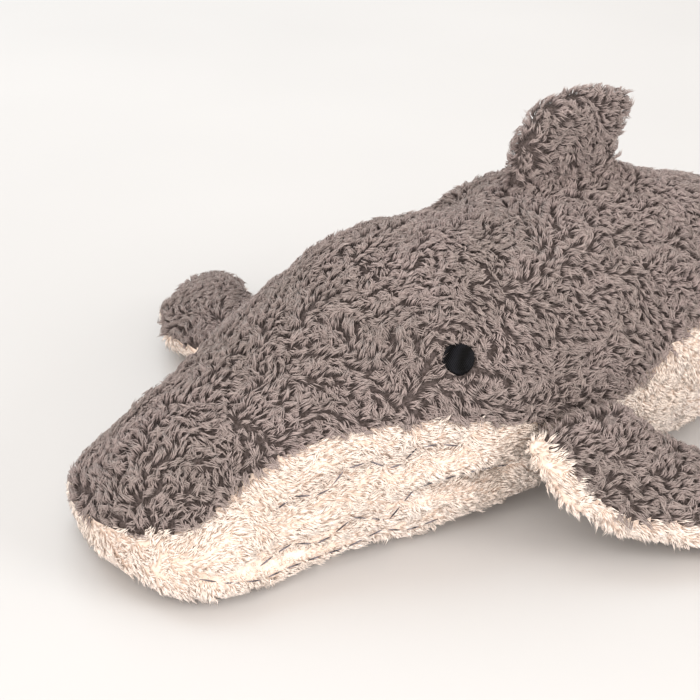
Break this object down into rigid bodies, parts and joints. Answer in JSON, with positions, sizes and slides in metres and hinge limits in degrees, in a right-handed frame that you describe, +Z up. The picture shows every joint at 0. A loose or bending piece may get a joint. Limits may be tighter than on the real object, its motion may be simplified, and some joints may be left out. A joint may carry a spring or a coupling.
{
  "type": "plush whale",
  "caption": "Long-pile plush humpback whale lying on its belly, with sewn flippers, dorsal fin, tail and flukes that bend at their seams.",
  "frame": {"origin": "on the surface the whale lies on, under the middle of its bounding box", "axes": "+Z up, +Y from the snout to the flukes, +X towards the whale's left side"},
  "size_m": [0.4919, 0.5692, 0.18],
  "materials": {
    "grey_plush": "long curly grey-taupe plush pile",
    "cream_plush": "curly cream plush pile",
    "fibre_filling": "loose polyester fibre filling",
    "eye_embroidery": "near-black satin-stitch embroidery",
    "grey_thread": "dark grey running-stitch thread",
    "cream_thread": "cream ladder-stitch thread"
  },
  "bodies": {
    "trunk": {"throat_panel": "cream_plush", "belly_panel": "cream_plush", "belly_closing_stitch": "cream_thread", "back_panel_left": "grey_plush", "back_panel_right": "grey_plush", "throat_stitch_left_1": "grey_thread", "throat_stitch_left_2": "grey_thread", "throat_stitch_left_3": "grey_thread", "throat_stitch_right_1": "grey_thread", "throat_stitch_right_2": "grey_thread", "throat_stitch_right_3": "grey_thread", "left_eye": "eye_embroidery", "right_eye": "eye_embroidery", "body_stuffing": "fibre_filling"},
    "left_fin": {"left_fin_upper": "grey_plush", "left_fin_lower": "cream_plush", "left_fin_stuffing": "fibre_filling"},
    "right_fin": {"right_fin_upper": "grey_plush", "right_fin_lower": "cream_plush", "right_fin_stuffing": "fibre_filling"},
    "dorsal_fin": {"dorsal_panel_left": "grey_plush", "dorsal_panel_right": "grey_plush", "dorsal_stuffing": "fibre_filling"},
    "tail": {"tail_panel_left": "grey_plush", "tail_panel_right": "grey_plush", "tail_belly_panel": "cream_plush", "tail_stuffing": "fibre_filling"},
    "flukes": {"fluke_upper_panel": "grey_plush", "fluke_lower_panel": "cream_plush", "left_fluke_stuffing": "fibre_filling", "right_fluke_stuffing": "fibre_filling"}
  },
  "joints": [
    {"name": "left_fin_flap", "type": "hinge", "parent": "trunk", "child": "left_fin", "pos_m": [0.099, -0.0846, 0.054], "axis": [0, -1, 0], "range_deg": [0, 50], "stiffness_Nm_per_rad": 1.5},
    {"name": "right_fin_flap", "type": "hinge", "parent": "trunk", "child": "right_fin", "pos_m": [-0.099, -0.0846, 0.054], "axis": [0, 1, 0], "range_deg": [0, 50], "stiffness_Nm_per_rad": 1.5},
    {"name": "dorsal_fin_lean", "type": "hinge", "parent": "trunk", "child": "dorsal_fin", "pos_m": [0, -0.0166, 0.141], "axis": [0, 0.9888, -0.1494], "range_deg": [-25, 25], "stiffness_Nm_per_rad": 0.5},
    {"name": "tail_swing", "type": "hinge", "parent": "trunk", "child": "tail", "pos_m": [0, 0.1304, 0.05], "axis": [0, 0, 1], "range_deg": [-30, 30], "stiffness_Nm_per_rad": 3},
    {"name": "fluke_lift", "type": "hinge", "parent": "tail", "child": "flukes", "pos_m": [0, 0.2054, 0.045], "axis": [1, 0, 0], "range_deg": [-30, 30], "stiffness_Nm_per_rad": 2}
  ]
}
